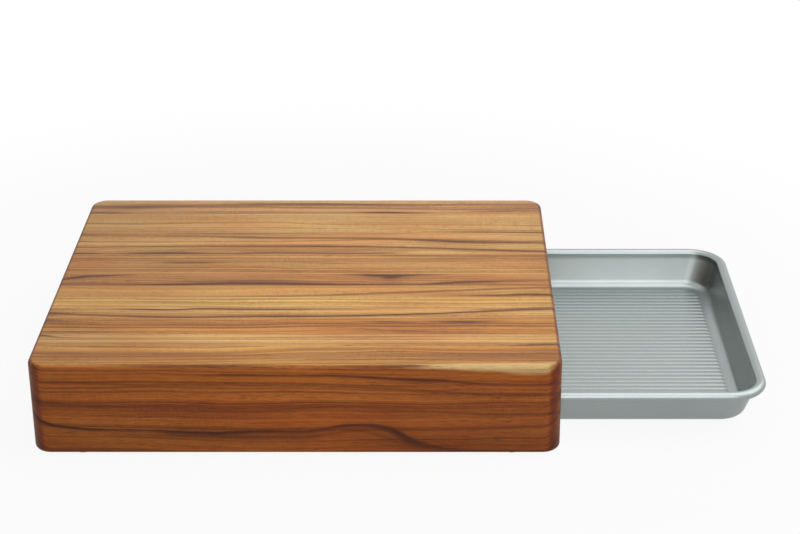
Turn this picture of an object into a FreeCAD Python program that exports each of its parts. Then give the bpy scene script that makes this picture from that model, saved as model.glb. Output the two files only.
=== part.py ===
import FreeCAD, Part
import math
import os
from FreeCAD import Vector

# A teak cutting board on two grooved rails, with a sheet-pan tray that slides out from under it.
# Millimetres. X runs along the grain, and the tray slides out towards +X. Y runs from front to back, Z is up.
# The origin is on the surface that the feet stand on, under the middle of the board.

# Tray: a quarter-size sheet pan with a wired rim and a ribbed floor
tray_length = 330.2
tray_width = 241.3
tray_depth = 27.4           # underside to the top of the rim
tray_pull = 140.5           # how far the tray stands out of the board at rest
sheet = 0.8                 # thickness of the steel
rim_corner_radius = 26.5    # outermost line of the rim, seen from above
bead_radius = 3.1           # outside of the curled rim
curl_start_deg = -25.0      # where the wall tucks in under the bead, counted from the bead's inside
curl_end_deg = 290.0        # where the curl stops, counted over its top
curl_flats = 5              # flats that stand for the round inside of the curl, where it is hidden
wire_flats = 6              # and for the round of the wire in it
wire_gap = 0.1              # between the rim wire and the curl around it
wall_draft_deg = 17.5       # lean of the walls from upright
floor_bend = 6.0            # inside radius between wall and floor
bend_flats = 4              # flats that stand for the round of that bend underneath
rib_pitch = 5.5
rib_width = 4.4             # at its foot
rib_crest_width = 1.4
rib_rise = 0.4
rib_end_slope = 2.0         # length of the ramp at a rib's end
rib_end_gap = 1.0           # from a rib's end to the bend at the wall
rib_side_gap = 1.0          # least flat beside the outermost ribs' pitch

# Running fits between the tray and the board
ride_gap = 0.3              # under the rim, down to the groove's floor
groove_head = 1.2           # over the rim, up to the groove's roof
rim_side_gap = 0.55         # beside the rim, out to the groove's back
ledge_reach = 4.8           # how far the ledge reaches in under the rim
stop_gap = 0.5              # between the tray and the stop when the tray is shut
mouth_recess = 1.3          # the shut tray's rim stands back from the board's end by this

# Board
slab_thickness = 25.0
head_room = 7.1             # rim of the tray up to the slab
tray_clearance = 5.5        # underside of the tray above the underside of the rails
groove_web = 19.8           # wood behind the groove
rail_width = 28.75          # the two full-height staves, front and back
stave_width_shares = (0.165, 0.174, 0.156, 0.085, 0.082, 0.151, 0.107, 0.080)    # between the rails, from the back
corner_radius = 12.0        # upright corners, seen from above
edge_round = 3.0            # top and bottom edges
mouth_ease = 1.0            # bevel round the tray's way in

# Stop: the rail that closes the left end, with tongues in the two grooves
stop_thickness = 16.0

# Feet: rubber buttons glued into the rails
foot_radius = 8.0
foot_height = 6.0
foot_socket_depth = 4.0
foot_end_inset = 32.0       # from the board's end to the foot's middle

# Small fits
foot_gap = 0.15             # round a foot in its socket
overrun = 5.0               # cuts run past the faces they open
flat_tolerance = 0.001      # an edge no taller than this lies flat

# Worked out from the sizes above
board_length = stop_thickness + stop_gap + tray_length + mouth_recess
board_depth = tray_width + 2 * (rim_side_gap + groove_web)
tunnel_height = tray_clearance + tray_depth + head_room
board_height = tunnel_height + slab_thickness
underside = foot_height - foot_socket_depth
ceiling = underside + tunnel_height
tray_bottom = underside + tray_clearance
tray_middle_x = board_length / 2 + tray_pull - tray_length / 2
tunnel_half_width = tray_width / 2 - ledge_reach
groove_half_width = tray_width / 2 + rim_side_gap
groove_floor = tray_bottom + tray_depth - 2 * bead_radius - ride_gap
groove_roof = tray_bottom + tray_depth + groove_head
rail_wall = board_depth / 2 - tunnel_half_width
stop_face_x = stop_thickness - board_length / 2
bead_height = tray_depth - bead_radius
curl_inner_radius = bead_radius - sheet
wire_radius = curl_inner_radius * math.cos(math.radians(curl_end_deg - curl_start_deg) / 2 / curl_flats) - wire_gap
wall_draft = math.radians(wall_draft_deg)
rim_foot = bead_height - bead_radius
bend_top = sheet + floor_bend * (1 - math.sin(wall_draft))
low_corner_radius = rim_corner_radius + (rim_foot - bend_top) * math.tan(wall_draft)    # as the rim's, at the bend
foot_places = [
    Vector(sx * (board_length / 2 - foot_end_inset), sy * (board_depth / 2 - rail_wall / 2), 0)
    for sy in (-1, 1)
    for sx in (-1, 1)
]


# Shapes that several pieces use
def box_between(low, high):
    return Part.makeBox(high.x - low.x, high.y - low.y, high.z - low.z, low)


def upright_cylinder(radius, place, low, high):
    return Part.makeCylinder(radius, high - low, Vector(place.x, place.y, low))


def rounded_plate(length, width, radius, low, height):
    """A plate centred on the Z axis, with rounded upright corners."""
    plate = Part.makeBox(length, width, height, Vector(-length / 2, -width / 2, low))
    uprights = [e for e in plate.Edges if e.BoundBox.ZLength > flat_tolerance]
    return plate.makeFillet(radius, uprights)


def flared_slot(y0, y1, z0, z1):
    """A slot right through the board along X, bevelled where it opens at the +X end."""
    end = board_length / 2

    def mouth(x, grown):
        corners = ((y0, z0), (y1, z0), (y1, z1), (y0, z1))
        middle_y, middle_z = (y0 + y1) / 2, (z0 + z1) / 2
        points = [
            Vector(x, y + math.copysign(grown, y - middle_y), z + math.copysign(grown, z - middle_z))
            for y, z in corners
        ]
        return Part.makePolygon(points + points[:1])

    slot = box_between(Vector(-end - overrun, y0, z0), Vector(end + overrun, y1, z1))
    flare = Part.makeLoft([mouth(end - mouth_ease, 0), mouth(end, mouth_ease)], True, True)
    return slot.fuse(flare)


# The block of wood, before it is told apart into staves
def plain_block():
    block = rounded_plate(board_length, board_depth, corner_radius, underside, board_height)
    level_edges = [e for e in block.Edges if e.BoundBox.ZLength < flat_tolerance]
    return block.makeFillet(edge_round, level_edges)


def tray_way():
    """The tunnel under the slab, with a groove along each side for the tray's rim."""
    tunnel = flared_slot(-tunnel_half_width, tunnel_half_width, underside - overrun, ceiling)
    grooves = [
        flared_slot(min(a, b), max(a, b), groove_floor, groove_roof)
        for a, b in ((0, groove_half_width), (0, -groove_half_width))
    ]
    return tunnel.multiFuse(grooves)


def machined_block(block, way):
    sockets = [
        upright_cylinder(foot_radius + foot_gap, place, underside - overrun, underside + foot_socket_depth)
        for place in foot_places
    ]
    return block.cut(Part.makeCompound([way] + sockets))


def strip_of(block, back, front):
    """The stretch of the block between two glue lines, given as distances from its middle."""
    reach = board_length / 2 + overrun
    low = Vector(-reach, front, underside - overrun)
    high = Vector(reach, back, underside + board_height + overrun)
    return block.common(box_between(low, high))


def staves(block):
    """The two rails and the slab's staves, from the back rail to the front one."""
    half = board_depth / 2
    slab_width = board_depth - 2 * rail_width
    pieces = {"back_rail": strip_of(block, half + overrun, half - rail_width)}
    back = half - rail_width
    for number, share in enumerate(stave_width_shares, 1):
        front = back - share * slab_width
        pieces[f"top_stave_{number}"] = strip_of(block, back, front)
        back = front
    pieces["front_rail"] = strip_of(block, rail_width - half, -half - overrun)
    return pieces


def tray_stop(block, way):
    """Fills the left end of the tray's way, with a tongue in each groove."""
    reach = board_depth / 2
    low = Vector(-board_length / 2 - overrun, -reach, underside - overrun)
    high = Vector(stop_face_x, reach, ceiling + overrun)
    return block.common(way).common(box_between(low, high))


def foot(place):
    return upright_cylinder(foot_radius, place, 0, foot_height)


# The tray, drawn about the Z axis with its underside at height 0
def on_bead(radius, degrees):
    """A point of the rim's section. Y is the distance in from the outermost line of the rim."""
    turn = math.radians(degrees)
    return Vector(0, bead_radius + radius * math.cos(turn), bead_height + radius * math.sin(turn))


def wall_inset(z, outside=0):
    """How far in from the outermost line of the rim the wall is at a height, on its inner or outer face."""
    tuck = on_bead(bead_radius, curl_start_deg)
    return tuck.y + (tuck.z - z) * math.tan(wall_draft) - outside / math.cos(wall_draft)


def on_wall(z, outside=0):
    return Vector(0, wall_inset(z, outside), z)


def rim_section():
    """Section of the rim: up the top of the wall, round the curl, and back down outside."""
    half_way_deg = (curl_start_deg + curl_end_deg) / 2
    curl = Part.Arc(*(on_bead(bead_radius, deg) for deg in (curl_start_deg, half_way_deg, curl_end_deg)))
    step_deg = (curl_end_deg - curl_start_deg) / curl_flats
    flats = [on_bead(curl_inner_radius, curl_end_deg - n * step_deg) for n in range(curl_flats + 1)]
    inside = [curl.EndPoint, *flats, on_wall(rim_foot, sheet), on_wall(rim_foot), curl.StartPoint]
    return Part.Face(Part.Wire([curl.toShape(), *Part.makePolygon(inside).Edges]))


def bend_middle():
    """Where the bend between wall and floor has its centre, in the rim's section."""
    return on_wall(bend_top) + Vector(0, math.cos(wall_draft), math.sin(wall_draft)) * floor_bend


def bend_section():
    """Section of the bend between the floor and the wall."""
    centre, whole = bend_middle(), math.pi / 2 - wall_draft

    def on_bend(radius, share):
        return centre - Vector(0, math.sin(share * whole), math.cos(share * whole)) * radius

    inner = Part.Arc(*(on_bend(floor_bend, share) for share in (0, 0.5, 1)))
    flats = [on_bend(floor_bend + sheet, 1 - n / bend_flats) for n in range(bend_flats + 1)]
    outside = [inner.EndPoint, on_wall(bend_top, sheet), *flats, inner.StartPoint]
    return Part.Face(Part.Wire([inner.toShape(), *Part.makePolygon(outside).Edges]))


def ring(z, outside):
    """Outline of the wall at a height. Its corners keep one radius all the way down."""
    inset = wall_inset(z, outside)
    radius = rim_corner_radius - wall_inset(rim_foot, outside)
    plate = rounded_plate(tray_length - 2 * inset, tray_width - 2 * inset, radius, z, sheet)
    return min(plate.Faces, key=lambda face: face.CenterOfMass.z).OuterWire


def wall_form(outside):
    """The space within the wall's inner or outer face, from the bend up to the foot of the rim."""
    low, high = ring(bend_top, outside), ring(rim_foot, outside)
    faces = [Part.Face(low), Part.Face(high)]
    for foot, head in zip(low.OrderedEdges, high.OrderedEdges):
        ends = [edge.valueAt(at) for edge in (foot, head) for at in edge.ParameterRange]
        flat = Part.makePolygon([ends[n] for n in (0, 1, 3, 2, 0)])
        is_corner = isinstance(foot.Curve, Part.Circle)
        faces.append(foot.extrude(ends[2] - ends[0]) if is_corner else Part.Face(flat))
    outward = Part.Solid(Part.Shell(faces)).Faces
    return Part.Solid(Part.Shell(outward))


def round_the_tray(section, turn_radius):
    """Carries a section along the tray's four sides and round its four corners."""
    pieces = []
    sides = [(tray_length, tray_width), (tray_width, tray_length)] * 2
    for quarter, (along, across) in enumerate(sides):
        run = along - 2 * turn_radius
        start = section.translated(Vector(-run / 2, -across / 2, 0))
        side = start.extrude(Vector(run, 0, 0))
        turn_middle = Vector(run / 2, turn_radius - across / 2, 0)
        corner = start.translated(Vector(run, 0, 0)).revolve(turn_middle, Vector(0, 0, 1), 90)
        for piece in (side, corner):
            piece.rotate(Vector(0, 0, 0), Vector(0, 0, 1), 90 * quarter)
            pieces.append(piece)
    return pieces[0].multiFuse(pieces[1:]).removeSplitter()


def rib(base, length, y):
    """A low ridge along X with sloping sides and ends, standing on the height given as its base."""

    def trapezium(foot, crest):
        return ((-foot / 2, base), (foot / 2, base), (crest / 2, base + rib_rise), (-crest / 2, base + rib_rise))

    from_side = [Vector(x, y - rib_width, z) for x, z in trapezium(length, length - 2 * rib_end_slope)]
    from_end = [Vector(-length, y + w, z) for w, z in trapezium(rib_width, rib_crest_width)]
    lengthways = Part.Face(Part.makePolygon(from_end + from_end[:1])).extrude(Vector(2 * length, 0, 0))
    crossways = Part.Face(Part.makePolygon(from_side + from_side[:1])).extrude(Vector(0, 2 * rib_width, 0))
    return lengthways.common(crossways)


def ribbed_floor():
    """The flat of the tray, with ribs pressed up out of the sheet, so each is hollow below."""
    inset = bend_middle().y
    length, width = tray_length - 2 * inset, tray_width - 2 * inset
    radius = low_corner_radius - inset
    floor = rounded_plate(length, width, radius, 0, sheet)
    rib_count = int((width - 2 * rib_side_gap) / rib_pitch)
    ridges, hollows = [], []
    for number in range(rib_count):
        y = (number - (rib_count - 1) / 2) * rib_pitch
        into_corner = max(0, abs(y) + rib_width / 2 - (width / 2 - radius))
        shortened = radius - math.sqrt(radius**2 - into_corner**2)
        rib_length = length - 2 * (rib_end_gap + shortened)
        ridges.append(rib(sheet, rib_length, y))
        hollows.append(rib(0, rib_length, y))
    return floor.multiFuse(ridges).cut(Part.makeCompound(hollows))


def tray_pan():
    rim = round_the_tray(rim_section(), rim_corner_radius)
    wall = wall_form(sheet).cut(wall_form(0))
    bend = round_the_tray(bend_section(), low_corner_radius)
    return rim.multiFuse([wall, bend, ribbed_floor()]).removeSplitter()


def rim_wire():
    corners = [on_bead(wire_radius, 360 * n / wire_flats) for n in range(wire_flats)]
    return round_the_tray(Part.Face(Part.makePolygon(corners + corners[:1])), rim_corner_radius)


# The whole object
def all_pieces():
    block, way = plain_block(), tray_way()
    pieces = staves(machined_block(block, way))
    pieces["tray_stop"] = tray_stop(block, way)
    corners = ("front_left", "front_right", "back_left", "back_right")
    for corner, place in zip(corners, foot_places):
        pieces[f"foot_{corner}"] = foot(place)
    in_the_board = Vector(tray_middle_x, 0, tray_bottom)
    pieces["tray_pan"] = tray_pan().translated(in_the_board)
    pieces["rim_wire"] = rim_wire().translated(in_the_board)
    return pieces


os.makedirs("parts", exist_ok=True)
for name, shape in all_pieces().items():
    shape.exportStep(f"parts/{name}.step")
    box = shape.BoundBox
    print(name, len(shape.Solids), "solids", shape.isValid(), round(shape.Volume), "mm3", end=" ")
    print([round(v, 2) for v in (box.XMin, box.XMax, box.YMin, box.YMax, box.ZMin, box.ZMax)])
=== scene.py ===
import math

import bpy
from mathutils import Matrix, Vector


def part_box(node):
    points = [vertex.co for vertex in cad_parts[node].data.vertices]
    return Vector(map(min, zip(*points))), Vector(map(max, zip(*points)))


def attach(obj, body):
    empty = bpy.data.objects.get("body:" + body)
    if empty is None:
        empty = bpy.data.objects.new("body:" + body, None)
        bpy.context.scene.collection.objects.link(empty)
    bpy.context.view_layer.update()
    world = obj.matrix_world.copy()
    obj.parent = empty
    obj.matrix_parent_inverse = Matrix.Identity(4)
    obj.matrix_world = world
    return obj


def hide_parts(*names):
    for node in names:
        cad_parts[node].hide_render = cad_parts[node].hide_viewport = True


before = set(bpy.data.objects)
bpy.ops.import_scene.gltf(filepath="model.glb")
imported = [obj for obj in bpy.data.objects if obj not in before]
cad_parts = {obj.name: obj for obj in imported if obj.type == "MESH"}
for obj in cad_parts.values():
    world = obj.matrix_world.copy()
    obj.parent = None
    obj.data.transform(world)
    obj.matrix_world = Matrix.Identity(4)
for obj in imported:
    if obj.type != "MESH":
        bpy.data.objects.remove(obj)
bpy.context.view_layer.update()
scene = bpy.context.scene
print("frame loaded:", len(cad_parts), "nodes")


# camera, at the photo's height and angle
cameraSet = {
    "place": (0.08645, -1.23058, 0.63314),
    "pitchDown": 24.47,      # degrees below level
    "lens": 85.53,           # mm
    "sensor": 36.0,
    "shiftX": -0.0348,
    "clip": (0.05, 30.0),
}

cameraData = bpy.data.cameras.new("camera")
cameraData.sensor_width = cameraSet["sensor"]
cameraData.lens = cameraSet["lens"]
cameraData.shift_x = cameraSet["shiftX"]
cameraData.clip_start, cameraData.clip_end = cameraSet["clip"]
camera = bpy.data.objects.new("camera", cameraData)
scene.collection.objects.link(camera)
camera.location = cameraSet["place"]
camera.rotation_euler = (math.radians(90.0 - cameraSet["pitchDown"]), 0.0, 0.0)
scene.camera = camera
print("camera set")


# shader maths: wraps a socket, so that materials read as sums
class Val:
    def __init__(self, tree, socket=None):
        self.tree = tree
        self.socket = socket

    # any node: its type, its settings, its sockets' values or links, and the output wanted
    def make(self, kind, settings=None, sockets=None, out=0):
        node = self.tree.nodes.new(kind)
        for name, value in (settings or {}).items():
            if name == "stops":
                self.fillRamp(node.color_ramp, value)
            elif name == "blend":
                node.color_ramp.interpolation = value
            else:
                setattr(node, name, value)
        for name, value in (sockets or {}).items():
            if isinstance(value, Val):
                self.tree.links.new(value.socket, node.inputs[name])
            else:
                node.inputs[name].default_value = value
        return Val(self.tree, node.outputs[out] if len(node.outputs) else None)

    def fillRamp(self, ramp, stops):
        while len(ramp.elements) < len(stops):
            ramp.elements.new(1.0)
        for element, (place, colour) in zip(ramp.elements, stops):
            element.position = place
            element.color = colour

    def math(self, operation, *values):
        return self.make("ShaderNodeMath", {"operation": operation}, dict(enumerate(values)))

    def __add__(self, other):
        return self.math("ADD", self, other)

    def __radd__(self, other):
        return self.math("ADD", other, self)

    def __sub__(self, other):
        return self.math("SUBTRACT", self, other)

    def __rsub__(self, other):
        return self.math("SUBTRACT", other, self)

    def __mul__(self, other):
        return self.math("MULTIPLY", self, other)

    def __rmul__(self, other):
        return self.math("MULTIPLY", other, self)

    def __truediv__(self, other):
        return self.math("DIVIDE", self, other)

    def __pow__(self, other):
        return self.math("POWER", self, other)

    def __abs__(self):
        return self.math("ABSOLUTE", self)

    # 0 below low, 1 above high, eased between
    def rise(self, low, high):
        return self.make("ShaderNodeMapRange", {"interpolation_type": "SMOOTHSTEP"},
                         {"Value": self, "From Min": low, "From Max": high,
                          "To Min": 0.0, "To Max": 1.0})

    def bell(self):
        return self.math("EXPONENT", self * self * -1.0)

    def parts(self):
        node = self.make("ShaderNodeSeparateXYZ", None, {0: self}).socket.node
        return [Val(self.tree, socket) for socket in node.outputs]

    def scaled(self, factors, offset=(0.0, 0.0, 0.0)):
        return self.make("ShaderNodeVectorMath", {"operation": "MULTIPLY_ADD"},
                         {0: self, 1: factors, 2: offset})

    # the object's own coordinates, in mm
    def millimetres(self):
        return self.make("ShaderNodeTexCoord", None, None, "Object").scaled((1000.0, 1000.0, 1000.0))

    # a height as a bump, with its strength and its depth in m
    def bumped(self, bump):
        strength, depth = bump
        return self.make("ShaderNodeBump", None, {"Strength": strength, "Distance": depth, "Height": self})

    # a value from 0 to 1 between two colours
    def between(self, first, second):
        return self.make("ShaderNodeMapRange", None, {"Value": self}).mixed(tint(first), tint(second))

    def noise(self, detail=2.0, roughness=0.5):
        return self.make("ShaderNodeTexNoise", None,
                         {"Vector": self, "Scale": 1.0, "Detail": detail, "Roughness": roughness})

    # noise along one value only
    def wave(self, detail=2.0):
        return self.make("ShaderNodeTexNoise", {"noise_dimensions": "1D"},
                         {"W": self, "Scale": 1.0, "Detail": detail, "Roughness": 0.5})

    def mixed(self, first, second, blend="MIX"):
        return self.make("ShaderNodeMix", {"data_type": "RGBA", "blend_type": blend},
                         {0: self, 6: first, 7: second}, 2)

    # colours multiplied all over
    def dyed(self, other):
        return self.make("ShaderNodeMix", {"data_type": "RGBA", "blend_type": "MULTIPLY"},
                         {0: 1.0, 6: self, 7: other}, 2)


def newMaterial(name):
    material = bpy.data.materials.new(name)
    material.use_nodes = True
    material.node_tree.nodes.clear()
    return material, Val(material.node_tree)


def finishMaterial(material, shader):
    shader.make("ShaderNodeOutputMaterial", None, {"Surface": shader})
    return material


def tint(colour):
    return (*colour, 1.0)


# teak: what all the staves share, in mm
teakSet = {
    "top": 67.0,
    "front": -141.0,
    "span": 348.0,           # length of the board, which a streak's stops are counted along
    "acrossLow": -150.0,
    "acrossSpan": 300.0,
    "widthMost": 8.0,
    "softSide": 0.5,         # a streak fades more slowly on one side
    "haloReach": 0.34,       # and has a faint brown halo
    "haloShare": 0.36,
    "streakBase": 0.95,      # how dark a streak is, and how far the fibres break it up
    "streakBreak": 0.8,
    "ripple": 1.2,           # how far ripples push rings and streaks, and fibres push streaks
    "fray": 0.9,
    "frontRough": 0.8,       # share of that on the front face
    "lightShare": (1.48, 1.55, 1.60),
    "deepShare": (0.63, 0.51, 0.39),
    "paleWoodAndHighlight": (1.70, 1.84, 1.35),    # pale lines that are drawn in: paler wood, and on the front face partly a painted highlight under its top edge
    "goldShare": (1.06, 1.14, 1.18),     # drifts of yellower and redder wood
    "redShare": (0.96, 0.86, 0.78),
    "leftFalloffShade": 0.79,                     # painted shade falling off towards the left, and darker towards the right end
    "rightEnd": 0.90,
    # painted shade towards the foot of the faces
    "lowPaintedShade": 0.74,
    "sideRight": (0.78, 0.72, 0.76),     # the front face darkens to the right
    "brownStreak": (0.235, 0.092, 0.030),
    "darkStreak": (0.088, 0.025, 0.006),
    "paintedSideShade": (0.81, 0.48, 0.245),     # painted shade: faces turned to the front or back are darker and redder
    # darker end grain, with painted shade on the ends and rounded corners
    "endGrainAndShade": (0.43, 0.27, 0.16),
    "bandShare": 0.38,                   # what makes up the tone
    "lineShare": 0.42,
    "fineShare": 0.20,
    "patchShare": 0.6,
    "fibreShare": 0.5,
    "fibreShade": 0.5,                   # and what shades it
    "grainShade": 0.4,
    "grainSide": 0.5,                    # more on the sides
    "chatter": 0.44,
    "pores": 0.45,
    "seam": 0.80,
    "bump": (0.18, 0.0004),
    "fibreHeight": 0.6,
    "poreHeight": -0.5,
    "veinHeight": -0.2,
    "roughness": 0.47,
    "fibreRough": 0.16,
    "poreRough": 0.15,
    "darkRough": 0.06,
    "specular": 0.25,
}

# how fast each kind of figure changes, per mm, along the grain and across it
grainSet = {
    "wander": (0.0045, 0.016),
    "ripple": (0.020, 0.16),
    "fibre": (0.030, 1.5),
    "grain": (0.10, 0.75),
    "patch": (0.010, 0.07),
    "drift": (0.007, 0.035),
    "poreDash": (0.15, 2.2),
    "poreZone": (0.008, 0.25),
    "chatter": (0.75, 0.16),
    "chatterZone": (0.012, 0.05),
    "bands": 0.13,           # and outwards through the growth rings
    "lines": 0.58,
    "fineLines": 1.7,
}

# where each figure starts to show, and where it is full
edgeSet = {
    "drift": (0.36, 0.64),
    "poreDash": (0.57, 0.70),
    "poreZone": (0.40, 0.60),
    "chatterZone": (0.45, 0.65),
    "bands": (0.34, 0.68),
    "lines": (0.36, 0.68),
    "fineLines": (0.38, 0.66),
    "veins": (0.56, 0.74),
    "veinPatch": (0.38, 0.60),
    "brown": (0.0, 0.7),             # strength of a streak
    "dark": (0.45, 1.05),
    "sapwood": (0.60, 1.30),         # share of its reach
    "side": (0.25, 0.85),            # turn of a face to the front or back
    "end": (0.03, 0.55),             # and to the left or right
    "onTop": (60.0, 65.0),           # mm up
    # painted shade towards the foot
    "lowPaintedShade": (6.0, 36.0),
    "offFront": (-134.0, -124.0),    # mm back
    "seam": (0.0, 0.45),             # mm from a glue line
    "leftFalloffShade": (-185.0, 20.0),       # mm along; the painted shade falls off to the left over this span
    "rightEnd": (145.0, 178.0),
    "sideRight": (20.0, 110.0),
}

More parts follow.
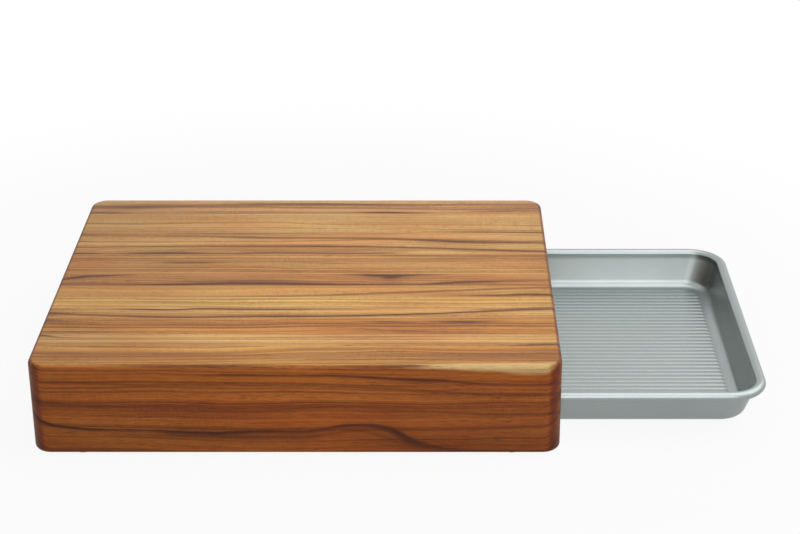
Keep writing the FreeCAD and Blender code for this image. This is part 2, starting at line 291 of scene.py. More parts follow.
# each stave: its middle tone, where its rings centre (y, z), how far they wander, strength of its own
# veins, and the streaks that are drawn in: (x, across, strength, half width) at stops from left to right
staveLooks = {
    "back_rail": {
        "tone": (0.535, 0.294, 0.124), "pith": (190.0, 20.0), "figure": 1.85, "wander": 14.0,
        "veins": 0.45, "seed": 3.1, "lean": -0.5,
        "streaks": [
            [(-174, 126, 0.45, 3.4), (-140, 126, 0.62, 3.4), (-100, 128, 0.45, 3.0),
             (-60, 130.5, 0.5, 2.4), (0, 131.5, 0.7, 2.0), (80, 130, 0.55, 2.2),
             (120, 131, 0.5, 2.2), (174, 131, 0.5, 2.2)],
            [(-174, 113.5, 0.6, 2.4), (-155, 113.5, 0.55, 2.4), (-138, 113, 0.2, 2.0),
             (-20, 114.5, 0.3, 1.5), (25, 114.5, 0.4, 1.6), (55, 114.5, 0.9, 1.7),
             (78, 114, 0.6, 1.4), (100, 115, 0.25, 1.5), (140, 117, 0.5, 1.8),
             (174, 118, 0.4, 1.8)],
        ],
    },
    "top_stave_1": {
        "tone": (0.608, 0.331, 0.113), "pith": (30.0, -10.0), "figure": 0.58, "wander": 12.0,
        "veins": 0.22, "seed": 7.7, "lean": 0.5,
        "streaks": [
            [(-174, 94, 0.35, 1.4), (-110, 94.5, 0.25, 1.4), (-20, 96, 0.1, 1.2),
             (20, 95.5, 0.28, 1.2), (174, 94, 0.22, 1.3)],
            [(80, 78, 0.0, 1.2), (120, 77.3, 0.5, 1.4), (145, 76.5, 0.6, 1.4),
             (174, 75.5, 0.85, 1.5)],
        ],
    },
    "top_stave_2": {
        "tone": (0.614, 0.324, 0.110), "pith": (0.0, 10.0), "figure": 1.1, "wander": 20.0,
        "veins": 0.18, "seed": 12.4, "lean": 0.4,
        "streaks": [
            [(-174, 72, 0.5, 2.2), (-150, 71, 0.3, 2.0), (-80, 69, 0.4, 1.8),
             (-40, 66.5, 0.62, 1.7), (0, 66, 0.55, 1.6), (40, 65.5, 0.6, 1.7),
             (70, 63.5, 0.62, 1.9), (100, 60.5, 0.8, 2.0), (125, 58.5, 0.75, 1.9),
             (174, 57, 0.6, 1.8)],
            [(-174, 49, 0.5, 1.1), (-100, 50.5, 0.6, 1.1), (-20, 50.8, 0.85, 1.2),
             (20, 50.5, 0.85, 1.2), (60, 49, 0.75, 1.1), (100, 46.5, 0.7, 1.1),
             (140, 43.5, 0.75, 1.1), (174, 41.5, 0.75, 1.1)],
            [(-174, 37, 0.9, 1.4), (-160, 37, 0.8, 1.4), (-148, 37.2, 0.4, 1.6),
             (-130, 37.2, 0.65, 2.3), (-100, 38, 0.75, 2.6), (-60, 37.6, 0.58, 2.2),
             (-35, 38.8, 0.6, 2.4), (0, 38.2, 0.58, 2.4), (30, 37.2, 0.65, 2.4),
             (60, 38.4, 0.45, 1.8), (85, 38.6, 0.0, 1.6)],
            [(-130, 75, 0.0, 1.4), (-90, 74.5, 0.3, 1.5), (-40, 74.6, 0.35, 1.4),
             (10, 75, 0.0, 1.2)],
        ],
    },
    "top_stave_3": {
        "tone": (0.490, 0.224, 0.067), "pith": (75.0, 20.0), "figure": 1.3, "wander": 10.0,
        "veins": 0.22, "seed": 21.9, "lean": 0.2,
        "streaks": [
            [(-20, 33.6, 0.0, 0.7), (50, 32.8, 0.4, 0.7), (100, 32.7, 0.62, 0.7),
             (174, 33, 0.65, 0.8)],
            [(-125, 21.6, 0.0, 1.4), (-98, 21.8, 0.55, 1.6), (-75, 22, 0.6, 1.5),
             (-55, 22.5, 0.4, 1.1), (-20, 22.3, 0.36, 0.9), (8, 21, 0.42, 0.9),
             (24, 20.2, 0.4, 0.9), (45, 21, 0.0, 0.8)],
        ],
    },
    "top_stave_4": {
        "tone": (0.466, 0.204, 0.061), "pith": (-60.0, 30.0), "figure": 1.5, "wander": 18.0,
        "veins": 0.35, "seed": 31.3, "lean": 0.3,
        "streaks": [
            [(-174, -7, 0.85, 1.7), (-165, -4.5, 0.9, 1.6), (-155, -2, 0.9, 1.4),
             (-140, -0.8, 0.75, 1.2), (-125, 0.3, 0.4, 1.0), (-105, 1, 0.0, 1.0)],
            [(-174, -18.5, 0.5, 1.2), (-130, -16.9, 0.5, 1.3), (-100, -16.5, 0.9, 1.6),
             (-80, -15.6, 0.9, 1.6), (-60, -14.4, 0.9, 1.4), (-20, -14.3, 1.0, 1.5),
             (20, -16, 1.0, 1.3), (40, -16.1, 0.8, 1.2), (75, -16.3, 0.55, 1.2),
             (90, -15, 0.8, 1.4), (105, -12.8, 0.9, 1.5), (125, -11.3, 0.85, 1.3),
             (140, -10.3, 0.6, 1.2), (174, -8.7, 0.35, 1.2)],
            [(-115, -13, 0.0, 2.0), (-60, -10.6, 0.42, 2.4), (-20, -10, 0.5, 2.6),
             (20, -13, 0.2, 2.0), (50, -14, 0.0, 2.0)],
            [(5, 1.4, 0.0, 1.2), (38, 0.8, 0.75, 1.5), (52, -0.4, 0.95, 2.4), (60, -1.6, 1.0, 3.6),
             (68, -0.4, 0.95, 2.2), (80, 0.4, 0.7, 1.4), (100, 1.2, 0.35, 1.2),
             (125, 1.4, 0.1, 1.2)],
        ],
    },
    "top_stave_5": {
        "tone": (0.630, 0.322, 0.094), "pith": (30.0, 0.0), "figure": 0.6, "wander": 14.0,
        "veins": 0.24, "seed": 44.2, "lean": -0.4,
        "streaks": [
            [(-174, -37, 0.2, 1.2), (-80, -36.6, 0.44, 1.2), (-40, -35.5, 0.46, 1.3),
             (0, -34.5, 0.52, 1.4), (40, -31.5, 0.52, 1.4), (80, -28, 0.54, 1.5),
             (120, -24.5, 0.54, 1.6), (174, -20.5, 0.52, 1.6)],
            [(70, -33.5, 0.0, 1.0), (115, -34, 0.5, 1.2), (140, -33.6, 0.75, 1.4),
             (155, -32.2, 0.85, 1.6), (174, -33, 0.8, 1.5)],
        ],
    },
    "top_stave_6": {
        "tone": (0.600, 0.328, 0.108), "pith": (-115.0, 10.0), "figure": 1.4, "wander": 14.0,
        "veins": 0.20, "seed": 52.8, "lean": -0.3,
        "streaks": [
            [(-174, -56, 0.5, 1.0), (-140, -56, 0.4, 1.0), (-110, -56.3, 0.75, 1.1),
             (-90, -57.2, 0.75, 1.1), (-70, -55.7, 0.75, 1.1), (-40, -55.9, 0.85, 1.1),
             (0, -56, 0.65, 1.0), (40, -56, 0.4, 1.0), (90, -56, 0.0, 0.9), (125, -57, 0.35, 1.0),
             (150, -55.4, 0.5, 1.0), (174, -53.5, 0.4, 1.0)],
            [(-174, -62, 0.7, 1.4), (-150, -64.5, 0.6, 1.2), (-110, -67.5, 0.7, 1.1),
             (-75, -68.8, 0.75, 1.0), (-40, -67.4, 0.75, 1.0), (-15, -67.2, 0.95, 1.0),
             (20, -66.8, 0.92, 0.9), (60, -65, 0.9, 0.9), (100, -62, 0.85, 0.9),
             (125, -59.6, 0.75, 1.0), (145, -57.8, 0.65, 1.0), (174, -56, 0.65, 1.0)],
        ],
        "lights": [
            [(-174, -43, 0.36, 3.8), (-60, -43, 0.28, 3.8), (60, -42, 0.34, 3.8), (174, -41, 0.32, 3.8)],
        ],
    },
    "top_stave_7": {
        "tone": (0.499, 0.209, 0.048), "pith": (-30.0, 20.0), "figure": 1.3, "wander": 14.0,
        "veins": 0.28, "seed": 63.5, "lean": -0.2,
        "streaks": [
            [(-174, -73, 0.6, 2.2), (-150, -76, 0.2, 1.6), (-90, -76, 0.15, 1.0),
             (30, -74.8, 0.1, 1.0), (60, -75.6, 0.7, 1.1), (75, -76.2, 0.5, 1.0),
             (85, -75.3, 0.42, 1.0), (100, -75.6, 0.8, 1.2), (115, -76, 0.92, 1.4),
             (130, -75, 0.4, 1.1), (150, -74, 0.0, 1.0)],
            [(-60, -74.2, 0.2, 0.6), (0, -77.5, 0.4, 0.6), (40, -80.5, 0.4, 0.6),
             (100, -84, 0.1, 0.6)],
            [(-20, -82, 0.1, 0.6), (40, -86, 0.4, 0.6), (60, -88.5, 0.42, 0.7), (80, -91, 0.4, 0.7),
             (120, -91.6, 0.1, 0.6)],
            [(-174, -91.6, 0.4, 1.3), (-80, -91, 0.25, 1.2), (174, -90, 0.2, 1.0)],
        ],
    },
    "top_stave_8": {
        "tone": (0.610, 0.313, 0.104), "pith": (-170.0, 10.0), "figure": 1.4, "wander": 3.0,
        "veins": 0.22, "seed": 71.6, "lean": -0.5,
        "streaks": [
            [(-174, -95.5, 0.65, 1.6), (-160, -99, 0.45, 1.0), (-140, -100.5, 0.35, 0.8),
             (0, -99.5, 0.3, 0.9), (60, -98.2, 0.42, 0.7), (100, -97.3, 0.4, 0.7),
             (174, -97.5, 0.25, 0.8)],
            [(100, -112.4, 0.2, 0.8), (130, -111.5, 0.25, 0.8), (150, -110.8, 0.65, 0.9),
             (174, -109.3, 0.75, 1.0)],
        ],
    },
    "front_rail": {
        "tone": (0.530, 0.237, 0.057), "pith": (-75.0, -30.0), "figure": 1.4, "wander": 9.0,
        "veins": 0.36, "seed": 86.3, "lean": 0.25,
        "streaks": [
            [(-174, -126.8, 0.25, 2.0), (-100, -126, 0.3, 2.0), (0, -125, 0.36, 2.0),
             (60, -124, 0.42, 2.2), (120, -124, 0.5, 2.4), (174, -124, 0.45, 2.4)],
            [(-174, -131, 0.1, 1.0), (0, -130.5, 0.3, 1.0), (100, -130, 0.36, 1.1),
             (174, -130, 0.36, 1.1)],
            [(-150, -138.6, 0.1, 1.0), (-80, -139.4, 0.62, 1.1), (-20, -139.4, 0.42, 1.0),
             (10, -140, 0.3, 1.0), (50, -140, 0.5, 1.0), (78, -139.6, 0.62, 0.9),
             (96, -140, 0.0, 0.8)],
        ],
        "frontStreaks": [
            [(-174, 50, 0.12, 5), (-60, 50, 0.12, 4), (90, 49, 0.12, 4), (140, 48, 0.08, 4),
             (174, 48, 0.0, 4)],
            [(-174, 65, 0.3, 0.9), (-120, 63.6, 0.2, 0.8), (-62, 60.6, 0.3, 0.9),
             (-45, 60.8, 0.62, 0.9), (0, 60.3, 0.58, 0.8), (30, 60, 0.66, 0.8),
             (60, 58.5, 0.72, 0.9), (80, 57.3, 0.78, 0.9), (100, 56.3, 0.6, 0.9),
             (130, 53.6, 0.42, 0.9), (174, 53.6, 0.36, 0.9)],
            [(-174, 56.5, 0.2, 0.9), (-110, 53.5, 0.42, 1.0), (-80, 53.2, 0.42, 1.0),
             (0, 52.8, 0.36, 0.9), (60, 50.7, 0.42, 0.9), (100, 48, 0.4, 0.9), (140, 46, 0.45, 1.0),
             (174, 46.5, 0.4, 1.0)],
            [(-174, 42, 0.5, 1.1), (-150, 39, 0.45, 1.0), (-130, 37.8, 0.45, 0.9),
             (-80, 36, 0.3, 0.8), (-50, 34.5, 0.42, 0.8), (-20, 34.5, 0.42, 0.8),
             (10, 36.5, 0.45, 0.8), (40, 37.5, 0.32, 0.8), (60, 35, 0.28, 0.8),
             (100, 33, 0.32, 0.8), (130, 31.8, 0.45, 0.9), (174, 32, 0.4, 0.9)],
            [(-174, 33, 0.85, 1.2), (-168, 27.5, 0.9, 1.0), (-160, 24, 0.9, 0.9),
             (-140, 21, 0.75, 0.9), (-100, 19.8, 0.55, 1.0), (-85, 19, 0.8, 1.0),
             (-60, 18, 0.85, 1.0), (-45, 18, 0.85, 1.0), (-20, 19.2, 0.7, 1.1), (0, 18.7, 0.6, 1.1),
             (10, 19.2, 0.62, 1.1), (25, 22.2, 0.7, 1.1), (40, 23.8, 0.75, 1.1),
             (55, 22.6, 0.75, 1.5), (65, 19.2, 0.78, 2.6), (72, 14.5, 0.75, 3.0),
             (80, 10, 0.65, 2.4), (95, 6.5, 0.55, 1.6), (120, 4, 0.4, 1.2), (174, 3.5, 0.2, 1.0)],
            [(-130, 16.8, 0.0, 1.0), (-80, 15.8, 0.35, 1.4), (0, 14.8, 0.42, 1.5),
             (20, 16.5, 0.3, 1.1), (40, 19.5, 0.2, 0.8), (55, 16, 0.26, 0.9), (66, 11, 0.15, 0.9),
             (90, 5, 0.0, 0.9)],
        ],
        # paler wood under the top edge, partly a painted highlight of the light from above
        "frontLights": [
            [(-174, 58.5, 0.3, 1.2), (-100, 57.8, 0.5, 1.3), (-40, 57.3, 0.55, 1.3),
             (20, 56.4, 0.6, 1.3), (70, 54.4, 0.55, 1.3), (110, 52, 0.4, 1.2), (150, 51, 0.25, 1.2),
             (174, 51, 0.1, 1.2)],
            [(-174, 64, 0.2, 1.2), (-110, 64.5, 0.35, 1.2), (-30, 64, 0.35, 1.3),
             (50, 63.5, 0.45, 1.4), (110, 61, 0.5, 1.6), (142, 59, 0.65, 1.7),
             (174, 58.5, 0.5, 1.6)],
        ],
        # pale sapwood on the front edge: reach over the top and down the face
        "sapwood": [
            (10, 0.0, 0.0), (50, 1.7, 1.2), (88, 2.7, 2.4),
            (125, 3.8, 4.1), (150, 4.7, 6.2), (174, 4.9, 5.8),
        ],
    },
    "tray_stop": {
        "tone": (0.470, 0.200, 0.055), "pith": (40.0, -40.0), "figure": 1.3, "wander": 14.0,
        "veins": 0.30, "seed": 95.4, "lean": 0.2, "streaks": [],
    },
}
sapwoodSet = {
    "colour": (0.80, 0.535, 0.225),
    "reachMost": 20.0,
    "reachLeast": 0.01,
    "roughShare": 0.5,
    "sideShare": 0.9,        # how much of the painted side shade it keeps off
}


# a place along the board, as a share of its length
def alongShare(x):
    return x / teakSet["span"] + 0.5


# one streak: a ramp carries its line, strength and width along the board
def streak(along, across, stops):
    def share(stop):
        x, line, strength, width = stop
        line = (line - teakSet["acrossLow"]) / teakSet["acrossSpan"]
        return alongShare(x), (line, strength, width / teakSet["widthMost"], 1.0)

    settings = {"stops": [share(stop) for stop in stops], "blend": "CARDINAL"}
    line, strength, width = along.make("ShaderNodeValToRGB", settings, {0: along}).parts()
    line = line * teakSet["acrossSpan"] + teakSet["acrossLow"]
    off = (across - line) / (width * teakSet["widthMost"])
    off = off.math("MAXIMUM", off, off * -teakSet["softSide"])
    halo = (off * teakSet["haloReach"]).bell() * teakSet["haloShare"]
    return off.math("MAXIMUM", off.bell(), halo) * strength


# pale sapwood over the front edge of the front rail: 1 where it shows
def sapwood(along, y, z, rough, stops):
    most, least = sapwoodSet["reachMost"], sapwoodSet["reachLeast"]
    shares = [(alongShare(x), (top / most, face / most, 0.0, 1.0)) for x, top, face in stops]
    settings = {"stops": shares, "blend": "EASE"}
    overTop, downFace = along.make("ShaderNodeValToRGB", settings, {0: along}).parts()[:2]
    inward = (y - teakSet["front"]) / (overTop * most + least)
    downward = (teakSet["top"] - z) / (downFace * most + least)
    away = inward + downward + rough * sapwoodSet["roughShare"]
    return 1.0 - away.rise(*edgeSet["sapwood"])


def teak(node, look):
    material, start = newMaterial("teak_" + node)
    low, high = (corner.y * 1000.0 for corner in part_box(node))
    seed = look["seed"]
    mm = start.millimetres()
    x, y, z = mm.parts()
    normalX, normalY = start.make("ShaderNodeTexCoord", None, None, "Normal").parts()[:2]
    along = alongShare(x)

    def field(kind, shift, detail=2.0, roughness=0.5):
        length, across = grainSet[kind]
        place = (seed, seed * 1.7 + shift, seed * 0.6 - shift)
        return mm.scaled((length, across, across), place).noise(detail, roughness)

    def zone(kind, shift, detail=2.0):
        return field(kind, shift, detail).rise(*edgeSet[kind])

    wander = field("wander", 1.0) - 0.5
    ripple = (field("ripple", 2.0, 3.0) - 0.5) * teakSet["ripple"]
    fibre = field("fibre", 3.0, 4.0, 0.66) - 0.5
    grain = field("grain", 10.0, 3.0, 0.7) - 0.5
    patch = field("patch", 4.0)
    drift = zone("drift", 7.0)
    pores = zone("poreDash", 5.0, 1.0) * zone("poreZone", 6.0)
    chatter = (field("chatter", 8.0, 2.0) - 0.5) * zone("chatterZone", 9.0)

    # growth rings round the heart of the tree
    sideways, upwards = y - look["pith"][0], z - look["pith"][1]
    ring = (sideways * sideways + upwards * upwards) ** 0.5 + wander * look["wander"] + ripple
    bands = (ring * grainSet["bands"] + seed).wave(2.0).rise(*edgeSet["bands"])
    lines = (ring * grainSet["lines"] + seed * 2.0).wave(3.0)
    fine = (ring * grainSet["fineLines"] + seed * 3.0).wave(2.0).rise(*edgeSet["fineLines"])
    tone = bands * teakSet["bandShare"] + fine * teakSet["fineShare"]
    tone = tone + lines.rise(*edgeSet["lines"]) * teakSet["lineShare"]
    tone = tone + (patch - 0.5) * teakSet["patchShare"] + fibre * teakSet["fibreShare"]
    tone = (tone - 0.5) * look["figure"] + 0.5
    veins = lines.rise(*edgeSet["veins"]) * patch.rise(*edgeSet["veinPatch"]) * look["veins"]

    # drawn streaks, roughened by the fibres
    rough = ripple + fibre * teakSet["fray"]
    across = y + (z - teakSet["top"]) * look["lean"] + rough
    down = z + (y - teakSet["front"]) * look["lean"] + rough * teakSet["frontRough"]
    onTop = z.rise(*edgeSet["onTop"]) if "frontStreaks" in look else 1.0
    onFront = 1.0 - y.rise(*edgeSet["offFront"])

    # plain wood left between the streaks that are drawn
    def plain(top, front):
        clear = 1.0
        for stops in look.get(top, []):
            clear = clear * (1.0 - streak(along, across, stops) * onTop)
        for stops in look.get(front, []):
            clear = clear * (1.0 - streak(along, down, stops) * onFront)
        return clear

    dark = 1.0 - (1.0 - veins) * plain("streaks", "frontStreaks")
    dark = dark * (teakSet["streakBase"] + fibre * teakSet["streakBreak"])

    def toned(shares):
        return [part * share for part, share in zip(look["tone"], teakSet[shares])]

    colour = tone.between(toned("lightShare"), toned("deepShare"))
    colour = colour.dyed(drift.mixed(tint(teakSet["goldShare"]), tint(teakSet["redShare"])))
    side = abs(normalY).rise(*edgeSet["side"])
    # pale lines drawn in; on the front face partly a painted highlight
    if "lights" in look or "frontLights" in look:
        colour = (1.0 - plain("lights", "frontLights")).mixed(colour, tint(toned("paleWoodAndHighlight")))
    if "sapwood" in look:
        pale = sapwood(along, y, z, rough, look["sapwood"])
        colour = pale.mixed(colour, tint(sapwoodSet["colour"]))
        side = side * (1.0 - pale * sapwoodSet["sideShare"])
    colour = dark.rise(*edgeSet["brown"]).mixed(colour, tint(teakSet["brownStreak"]))
    colour = dark.rise(*edgeSet["dark"]).mixed(colour, tint(teakSet["darkStreak"]))

    # fibres, pores, glue lines, painted shade falling off to the left and towards the foot, and darker
    # towards the right end
    grainShade = grain * (side * teakSet["grainSide"] + teakSet["grainShade"])
    shade = 1.0 + fibre * teakSet["fibreShade"] + grainShade + chatter * teakSet["chatter"]
    shade = shade * (1.0 - pores * teakSet["pores"])
    seam = (y - low).math("MINIMUM", y - low, high - y).rise(*edgeSet["seam"])
    shade = shade * (teakSet["seam"] + seam * (1.0 - teakSet["seam"]))
    # painted shade falling off to the left
    shade = shade * (teakSet["leftFalloffShade"] + x.rise(*edgeSet["leftFalloffShade"]) * (1.0 - teakSet["leftFalloffShade"]))
    rightEnd = x.rise(*edgeSet["rightEnd"]) * (1.0 - side)
    shade = shade * (1.0 - rightEnd * (1.0 - teakSet["rightEnd"]))
    # painted shade towards the foot
    shade = shade * (teakSet["lowPaintedShade"] + z.rise(*edgeSet["lowPaintedShade"]) * (1.0 - teakSet["lowPaintedShade"]))
    colour = colour.dyed(shade)
    # painted shade on faces turned to the front or back
    colour = side.mixed(colour, tint(teakSet["paintedSideShade"]), "MULTIPLY")
    sideRight = side * x.rise(*edgeSet["sideRight"])
    colour = sideRight.mixed(colour, tint(teakSet["sideRight"]), "MULTIPLY")
    # darker end grain, with painted shade on the ends and rounded corners
    colour = abs(normalX).rise(*edgeSet["end"]).mixed(colour, tint(teakSet["endGrainAndShade"]), "MULTIPLY")

    height = fibre * teakSet["fibreHeight"] + pores * teakSet["poreHeight"]
    height = height + veins * teakSet["veinHeight"]
    roughness = teakSet["roughness"] + fibre * teakSet["fibreRough"]
    roughness = roughness + pores * teakSet["poreRough"] + dark * teakSet["darkRough"]
    shader = start.make("ShaderNodeBsdfPrincipled", None,
                        {"Base Color": colour, "Roughness": roughness,
                         "Normal": height.bumped(teakSet["bump"]),
                         "Specular IOR Level": teakSet["specular"]})
    return finishMaterial(material, shader)


def dress(piece, material):
    piece.data.materials.clear()
    piece.data.materials.append(material)


for node, look in staveLooks.items():
    dress(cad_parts[node], teak(node, look))
print("teak staves dressed:", len(staveLooks))


# modelling helpers
weld = 0.00002               # points nearer than this are one, in m
sortPlace = (-0.71, -0.53, 0.37)


def onlyActive(piece):
    bpy.ops.object.select_all(action="DESELECT")
    piece.select_set(True)
    bpy.context.view_layer.objects.active = piece


def applyModifier(piece, kind, **settings):
    onlyActive(piece)
    modifier = piece.modifiers.new(kind.lower(), kind)
    for name, value in settings.items():
        setattr(modifier, name, value)
    bpy.ops.object.modifier_apply(modifier=modifier.name)


# puts a mesh's points, lines and faces into one order, so that each run gives the same mesh
def sortMesh():
    scene.cursor.location = sortPlace
    bpy.ops.mesh.select_all(action="SELECT")
    bpy.ops.mesh.sort_elements(type="CURSOR_DISTANCE", elements={"VERT", "EDGE", "FACE"})


# starts a mesh as one loose point
def startPoint(name, place):
    bpy.ops.object.select_all(action="DESELECT")
    bpy.ops.mesh.primitive_plane_add(size=0.001, location=(0.0, 0.0, 0.0))
    piece = bpy.context.object
    piece.name = name
    bpy.ops.object.mode_set(mode="EDIT")
    bpy.ops.mesh.select_mode(type="VERT")
    bpy.ops.mesh.select_all(action="SELECT")
    bpy.ops.mesh.merge(type="CENTER")
    bpy.ops.transform.translate(value=place)
    return piece


# selects points of the active mesh by their place, in edit mode
def pickPoints(piece, test):
    bpy.ops.mesh.select_mode(type="VERT")
    bpy.ops.mesh.select_all(action="DESELECT")
    bpy.ops.object.mode_set(mode="OBJECT")
    for point in piece.data.vertices:
        point.select = test(point.co)
    bpy.ops.object.mode_set(mode="EDIT")


def push(move):
    bpy.ops.mesh.extrude_region_move(TRANSFORM_OT_translate={"value": move})


# spins what is selected, with the right-hand rule: the operator itself turns the other way
def turn(steps, degrees, centre, axis):
    bpy.ops.mesh.spin(steps=steps, angle=-math.radians(degrees), center=centre, axis=axis)


def finishPiece(piece, name, node, material, angle):
    sortMesh()
    bpy.ops.object.mode_set(mode="OBJECT")
    onlyActive(piece)
    bpy.ops.object.transform_apply(location=True, rotation=True, scale=True)
    bpy.ops.object.shade_smooth_by_angle(angle=math.radians(angle))
    piece.name = name
    dress(piece, material)
    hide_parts(node)


# tray: a pressed pan, in metres, where its CAD node is
panSet = {
    "sheet": 0.0008,
    "cornerRadius": 0.0265,
    "bead": 0.0031,          # half height of the rolled rim, and its half width
    "beadWide": 0.00355,
    "curlStart": -8.0,       # degrees from the inside of the bead, where the wall tucks in under it
    "curlEnd": 290.0,        # where the curl stops, counted over its top
    "footDrop": 0.0003,      # the rim's section ends this far under the bead
    "draft": 15.5,           # lean of the walls
    "floorBend": 0.0066,
    "beadSteps": 22,
    "bendSteps": 8,
    "cornerSteps": 16,
    "ribPitch": 0.0055,
    "ribCount": 37,
    "ribRise": 0.0003,
    "ribReach": 0.0024,      # how far a rib's slope runs out from its crest
    "ribEndGap": 0.0010,     # flat left between a rib and the bend at the wall
    "ribEndSteps": 4,
    "ribEndStep": 0.0006,
    "ribRows": 10,           # faces across one rib
    "ribCrest": 1.2,         # rows that its crest takes in on each side
    "ribCuts": (0.0017, 0.0065),    # the last two ribs on each side stop short at the round corners
    "ribSlack": 0.0001,
    "floorBand": 0.0003,     # height over the flat that still counts as floor
    "middleReach": 0.03,
    "smooth": 38.0,          # degrees
}
panLow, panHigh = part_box("tray_pan")
panMiddle = (panLow + panHigh) / 2.0
panSize = panHigh - panLow
cornerSigns = [(1.0, -1.0), (1.0, 1.0), (-1.0, 1.0), (-1.0, -1.0)]
draft = math.radians(panSet["draft"])
rimFoot = panSize.z - 2.0 * panSet["bead"] - panSet["footDrop"]
bendTop = panSet["sheet"] + panSet["floorBend"] * (1.0 - math.sin(draft))
lowCorner = panSet["cornerRadius"] + (rimFoot - bendTop) * math.tan(draft)


# a point of the pan's section, by its distance in from the rim's outermost line and its height:
# the section is drawn at the left end of the front side
def sectionPoint(inset, height, corner=panSet["cornerRadius"]):
    return panLow + Vector((corner, inset, height))


def onBead(degrees):
    angle = math.radians(degrees)
    return sectionPoint(panSet["beadWide"] * (1.0 + math.cos(angle)),
                        panSize.z - panSet["bead"] * (1.0 - math.sin(angle)))


def wallInset(height):
    tuck = onBead(panSet["curlStart"]) - panLow
    return tuck.y + (tuck.z - height) * math.tan(draft)


beadMiddle = sectionPoint(panSet["bead"], panSize.z - panSet["bead"])
floorInset = wallInset(bendTop) + panSet["floorBend"] * math.cos(draft)


# carries what is drawn round the four sides and corners
def roundTheTray(radius):
    bpy.ops.mesh.select_all(action="SELECT")
    along, across = panSize.x - 2.0 * radius, panSize.y - 2.0 * radius
    moves = [(along, 0.0), (0.0, across), (-along, 0.0), (0.0, -across)]
    for (moveX, moveY), (signX, signY) in zip(moves, cornerSigns):
        push((moveX, moveY, 0.0))
        corner = panMiddle + Vector((signX * along, signY * across, 0.0)) / 2.0
        turn(panSet["cornerSteps"], 90.0, corner, (0.0, 0.0, 1.0))
    bpy.ops.mesh.select_all(action="SELECT")
    bpy.ops.mesh.remove_doubles(threshold=weld)


# the curl round the wire, and the top of the wall tucked in under it
def rolledRim():
    flatten = panSet["beadWide"] / panSet["bead"]
    start, end = onBead(panSet["curlEnd"]), onBead(panSet["curlStart"])
    start.y = panLow.y + (start.y - panLow.y) / flatten
    rim = startPoint("pan", start)
    turn(panSet["beadSteps"], panSet["curlEnd"] - panSet["curlStart"], beadMiddle, (-1.0, 0.0, 0.0))
    bpy.ops.mesh.select_all(action="SELECT")
    bpy.ops.transform.resize(value=(1.0, flatten, 1.0), center_override=panLow)
    pickPoints(rim, lambda co: (co - end).length < weld)
    push(sectionPoint(wallInset(rimFoot), rimFoot) - end)
    roundTheTray(panSet["cornerRadius"])
    return rim


# the wall below it: corners slide in whole, so that they keep their radius
def dropWall(rim):
    level = panLow.z + bendTop
    pickPoints(rim, lambda co: co.z < panLow.z + rimFoot + weld)
    push((0.0, 0.0, bendTop - rimFoot))
    inward = wallInset(bendTop) - wallInset(rimFoot)
    for signX, signY in cornerSigns:
        pickPoints(rim, lambda co: co.z < level + weld and (co.x - panMiddle.x) * signX > 0.0
                   and (co.y - panMiddle.y) * signY > 0.0)
        bpy.ops.transform.translate(value=(-signX * inward, -signY * inward, 0.0))
    bpy.ops.object.mode_set(mode="OBJECT")


def floorBend():
    bend = startPoint("bend", sectionPoint(wallInset(bendTop), bendTop, lowCorner))
    middle = sectionPoint(floorInset, panSet["sheet"] + panSet["floorBend"], lowCorner)
    turn(panSet["bendSteps"], 90.0 - panSet["draft"], middle, (1.0, 0.0, 0.0))
    roundTheTray(lowCorner)
    bpy.ops.object.mode_set(mode="OBJECT")
    return bend


# one rib, raised from a flat strip, then repeated across the floor
def ribbedFloor():
    length = panSize.x - 2.0 * (floorInset + panSet["ribEndGap"])
    step, pitch, rows = panSet["ribEndStep"], panSet["ribPitch"], panSet["ribRows"]
    firstRow = panMiddle.y - pitch * (panSet["ribCount"] - 1) / 2.0
    place = (panMiddle.x - length / 2.0 + step / 2.0, firstRow, panLow.z + panSet["sheet"])
    bpy.ops.object.select_all(action="DESELECT")
    bpy.ops.mesh.primitive_grid_add(x_subdivisions=1, y_subdivisions=rows, size=1.0, location=place)
    strip = bpy.context.object
    strip.scale = (step, pitch, 1.0)
    bpy.ops.object.transform_apply(location=True, rotation=True, scale=True)
    bpy.ops.object.mode_set(mode="EDIT")
    ends = [step] * (panSet["ribEndSteps"] - 1)
    run = length - 2.0 * step * panSet["ribEndSteps"]
    edge = panMiddle.x - length / 2.0 + step
    pickPoints(strip, lambda co: co.x > edge - step / 4.0)
    for width in ends + [run] + ends + [step]:
        push((width, 0.0, 0.0))
    crestLow = panMiddle.x - run / 2.0 - step / 4.0
    pickPoints(strip, lambda co: abs(co.y - firstRow) < pitch / rows * panSet["ribCrest"]
               and crestLow < co.x < 2.0 * panMiddle.x - crestLow)
    bpy.ops.transform.translate(value=(0.0, 0.0, panSet["ribRise"]), use_proportional_edit=True,
                                proportional_edit_falloff="SMOOTH",
                                proportional_size=panSet["ribReach"])
    bpy.ops.object.mode_set(mode="OBJECT")
    applyModifier(strip, "ARRAY", count=panSet["ribCount"], use_relative_offset=False,
                  use_constant_offset=True, constant_offset_displace=(0.0, pitch, 0.0),
                  use_merge_vertices=True, merge_threshold=weld)
    bpy.ops.object.mode_set(mode="EDIT")
    firstCut = panSet["ribCount"] / 2.0 - len(panSet["ribCuts"])
    for number, cut in enumerate(panSet["ribCuts"]):
        outer = pitch * (firstCut + number) + panSet["ribSlack"]
        for side in (-1.0, 1.0):
            pickPoints(strip, lambda co: abs(co.y - panMiddle.y) > outer
                       and (co.x - panMiddle.x) * side > run / 4.0)
            bpy.ops.transform.translate(value=(-side * cut, 0.0, 0.0))
    bpy.ops.object.mode_set(mode="OBJECT")
    return strip


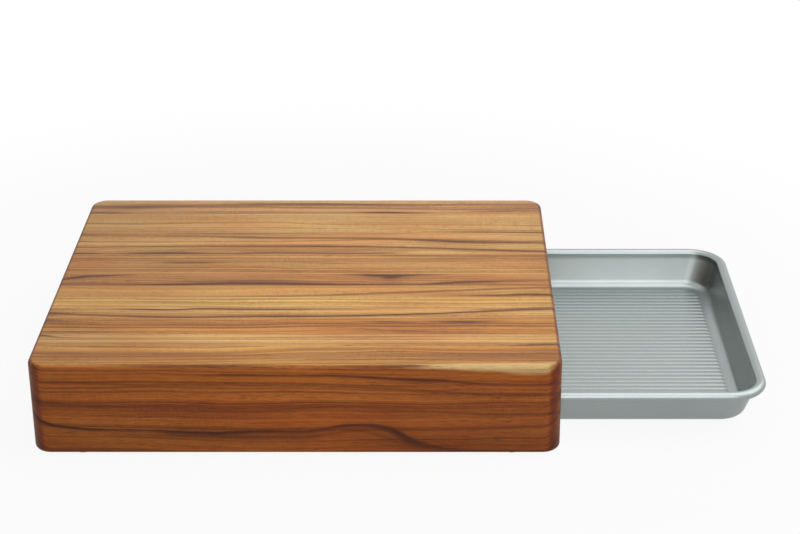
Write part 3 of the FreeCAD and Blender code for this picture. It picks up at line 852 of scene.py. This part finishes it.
# joins the wall, the bend and the ribbed floor
def closeFloor(pan, bend, strip):
    onlyActive(pan)
    bend.select_set(True)
    strip.select_set(True)
    bpy.ops.object.join()
    bpy.ops.object.mode_set(mode="EDIT")
    bpy.ops.mesh.select_all(action="SELECT")
    bpy.ops.mesh.remove_doubles(threshold=weld)
    sortMesh()
    bpy.ops.mesh.select_mode(type="EDGE")
    bpy.ops.mesh.select_all(action="DESELECT")
    bpy.ops.mesh.select_non_manifold(extend=False, use_wire=False, use_boundary=True,
                                     use_multi_face=False, use_non_contiguous=False, use_verts=False)
    bpy.ops.object.mode_set(mode="OBJECT")
    level = panLow.z + panSet["sheet"] + panSet["floorBand"]
    points = pan.data.vertices
    for line in pan.data.edges:
        line.select = line.select and all(points[p].co.z < level for p in line.vertices)
    bpy.ops.object.mode_set(mode="EDIT")
    bpy.ops.mesh.fill(use_beauty=True)
    bpy.ops.mesh.select_all(action="SELECT")
    bpy.ops.mesh.remove_doubles(threshold=weld)
    bpy.ops.mesh.normals_make_consistent(inside=False)
    bpy.ops.object.mode_set(mode="OBJECT")
    reach = panSet["middleReach"]
    middle = [face for face in pan.data.polygons if (face.center - panMiddle).xy.length < reach]
    if sum(face.normal.z for face in middle) < 0.0:
        bpy.ops.object.mode_set(mode="EDIT")
        bpy.ops.mesh.select_all(action="SELECT")
        bpy.ops.mesh.flip_normals()
        bpy.ops.object.mode_set(mode="OBJECT")


panSteel = {"colour": (0.355, 0.390, 0.382), "shade": (0.285, 0.317, 0.311), "roughness": 0.33}

# what all the steel shares: its figures, per mm, and what each adds to the tone, roughness and height
steelSet = {
    "speck": (2.2, 2.2, 2.2),
    "cloud": (0.02, 0.02, 0.02),
    "streaks": (0.012, 0.5, 0.5),
    "tone": 0.4,
    "speckTone": 0.8,
    "cloudTone": 0.6,
    "speckRough": 0.14,
    "cloudRough": 0.10,
    "streakRough": 0.05,
    "speckHeight": 0.7,
    "streakHeight": 0.3,
    "bump": (0.10, 0.0002),
}


def satinSteel(name, look):
    material, start = newMaterial(name)
    mm = start.millimetres()
    speck = mm.scaled(steelSet["speck"]).noise(2.0, 0.6) - 0.5
    cloud = mm.scaled(steelSet["cloud"]).noise(3.0, 0.55) - 0.5
    streaks = mm.scaled(steelSet["streaks"]).noise(3.0, 0.6) - 0.5
    tone = speck * steelSet["speckTone"] + cloud * steelSet["cloudTone"] + steelSet["tone"]
    colour = tone.between(look["colour"], look["shade"])
    roughness = look["roughness"] + speck * steelSet["speckRough"]
    roughness = roughness + cloud * steelSet["cloudRough"] + streaks * steelSet["streakRough"]
    height = speck * steelSet["speckHeight"] + streaks * steelSet["streakHeight"]
    shader = start.make("ShaderNodeBsdfPrincipled", None,
                        {"Base Color": colour, "Roughness": roughness, "Metallic": 1.0,
                         "Normal": height.bumped(steelSet["bump"])})
    return finishMaterial(material, shader)


pan = rolledRim()
dropWall(pan)
closeFloor(pan, floorBend(), ribbedFloor())
applyModifier(pan, "SOLIDIFY", thickness=panSet["sheet"], offset=-1.0)
bpy.ops.object.mode_set(mode="EDIT")
panMaterial = satinSteel("pan_steel_satin", panSteel)
finishPiece(pan, "pan", "tray_pan", panMaterial, panSet["smooth"])
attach(pan, "tray")
print("pan modelled:", len(pan.data.polygons), "faces")


# wire in the rim, a round rod bent round the same corners
wireSet = {"radius": 0.00186, "sides": 14, "smooth": 60.0}
wireSteel = {"colour": (0.50, 0.50, 0.49), "shade": (0.40, 0.40, 0.39), "roughness": 0.40}

wire = startPoint("wire", beadMiddle + Vector((0.0, wireSet["radius"], 0.0)))
turn(wireSet["sides"], 360.0, beadMiddle, (1.0, 0.0, 0.0))
bpy.ops.mesh.select_all(action="SELECT")
bpy.ops.mesh.remove_doubles(threshold=weld)
roundTheTray(panSet["cornerRadius"])
bpy.ops.mesh.normals_make_consistent(inside=False)
wireMaterial = satinSteel("wire_steel_bare", wireSteel)
finishPiece(wire, "wire", "rim_wire", wireMaterial, wireSet["smooth"])
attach(wire, "tray")
print("rim wire modelled")


# feet: rubber buttons with a rounded tread and a dished middle
footSet = {
    "sides": 48,
    "tread": 0.0009,
    "treadSteps": 4,
    "dishShare": 0.55,
    "dish": 0.0006,
    "smooth": 50.0,
    "grit": (1.8, 1.8, 1.8),         # figures of the rubber, per mm
    "dust": (0.25, 0.25, 0.25),
    "colour": (0.022, 0.022, 0.023),
    "dustColour": (0.040, 0.039, 0.038),
    "roughness": 0.62,
    "gritRough": 0.25,
    "bump": (0.25, 0.0003),
}


def footRubber():
    material, start = newMaterial("foot_rubber_matt")
    mm = start.millimetres()
    grit = mm.scaled(footSet["grit"]).noise(3.0, 0.6) - 0.5
    dust = mm.scaled(footSet["dust"]).noise(2.0, 0.5)
    colour = dust.mixed(tint(footSet["colour"]), tint(footSet["dustColour"]))
    roughness = footSet["roughness"] + grit * footSet["gritRough"]
    shader = start.make("ShaderNodeBsdfPrincipled", None,
                        {"Base Color": colour, "Roughness": roughness,
                         "Normal": grit.bumped(footSet["bump"])})
    return finishMaterial(material, shader)


def modelFoot(node, material):
    low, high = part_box(node)
    middle, radius = (low + high) / 2.0, (high.x - low.x) / 2.0
    bpy.ops.object.select_all(action="DESELECT")
    bpy.ops.mesh.primitive_cylinder_add(vertices=footSet["sides"], radius=radius,
                                        depth=high.z - low.z, location=middle)
    foot = bpy.context.object
    bpy.ops.object.transform_apply(location=True, rotation=True, scale=True)
    bpy.ops.object.mode_set(mode="EDIT")
    pickPoints(foot, lambda co: co.z < low.z + weld)
    bpy.ops.mesh.bevel(offset=footSet["tread"], segments=footSet["treadSteps"], affect="EDGES")
    pickPoints(foot, lambda co: co.z < low.z + weld)
    bpy.ops.mesh.select_mode(type="FACE")
    bpy.ops.mesh.inset(thickness=radius * (1.0 - footSet["dishShare"]) - footSet["tread"])
    bpy.ops.mesh.inset(thickness=footSet["dish"])
    bpy.ops.transform.translate(value=(0.0, 0.0, footSet["dish"]))
    finishPiece(foot, "pad_" + node, node, material, footSet["smooth"])
    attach(foot, "board")


rubber = footRubber()
for node in sorted(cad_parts):
    if node.startswith("foot_"):
        modelFoot(node, rubber)
print("feet modelled")


# floor, soft light and a white surround
studioSet = {
    "floorSize": 14.0,
    "floorColour": (0.72, 0.72, 0.72),
    "floorWhite": 0.92,      # share of plain white that the camera sees near the object
    "clearNear": 0.30,       # metres from the middle: the shadow is kept inside this
    "clearFar": 0.62,
    "mirrored": 0.76,        # and the share of that white which metal reflects
    "ambient": 0.26,
    "keyPower": 28.5,
    "keySize": 2.5,
    "keyPlace": (1.00, 0.30, 1.62),
    "frontPower": 10.8,
    "frontSize": 1.45,
    "frontPlace": (0.15, -1.60, 1.06),
    "target": (0.05, 0.0, 0.05),
}


# 1 for rays that should see plain white
def seenRay(start, mirrored=1.0):
    rays = start.make("ShaderNodeLightPath").socket.node
    camera, glossy, through = (Val(start.tree, rays.outputs["Is %s Ray" % kind])
                               for kind in ("Camera", "Glossy", "Transmission"))
    return camera.math("MAXIMUM", camera, glossy.math("MAXIMUM", glossy * mirrored, through))


def floorPaper():
    material, start = newMaterial("studio_floor")
    x, y = start.make("ShaderNodeTexCoord", None, None, "Object").parts()[:2]
    away = (x * x + y * y) ** 0.5
    plain = away.rise(studioSet["clearNear"], studioSet["clearFar"]) * (1.0 - studioSet["floorWhite"])
    white = seenRay(start, studioSet["mirrored"]) * (plain + studioSet["floorWhite"])
    lit = start.make("ShaderNodeBsdfDiffuse", None, {"Color": tint(studioSet["floorColour"])})
    glow = start.make("ShaderNodeEmission", None, {"Color": tint((1.0, 1.0, 1.0)), "Strength": 1.0})
    paper = start.make("ShaderNodeMixShader", None, {0: white, 1: lit, 2: glow})
    below = start.make("ShaderNodeNewGeometry", None, None, "Backfacing")
    clear = start.make("ShaderNodeBsdfTransparent")
    shader = start.make("ShaderNodeMixShader", None, {0: below, 1: paper, 2: clear})
    return finishMaterial(material, shader)


bpy.ops.object.select_all(action="DESELECT")
bpy.ops.mesh.primitive_plane_add(size=studioSet["floorSize"], location=(0.0, 0.0, 0.0))
floor = bpy.context.object
floor.name = "floor"
dress(floor, floorPaper())

world = bpy.data.worlds.new("studio")
world.use_nodes = True
world.node_tree.nodes.clear()
sky = Val(world.node_tree)
strength = seenRay(sky) * (1.0 - studioSet["ambient"]) + studioSet["ambient"]
surround = sky.make("ShaderNodeBackground", None,
                    {"Color": tint((1.0, 1.0, 1.0)), "Strength": strength})
sky.make("ShaderNodeOutputWorld", None, {"Surface": surround})
scene.world = world


def softLight(name):
    data = bpy.data.lights.new(name, "AREA")
    data.shape = "SQUARE"
    data.size = studioSet[name + "Size"]
    data.energy = studioSet[name + "Power"]
    light = bpy.data.objects.new(name, data)
    scene.collection.objects.link(light)
    light.location = studioSet[name + "Place"]
    towards = Vector(studioSet["target"]) - light.location
    light.rotation_euler = towards.to_track_quat("-Z", "Y").to_euler()


softLight("key")
softLight("front")
scene.view_settings.view_transform = "Standard"
print("studio set")
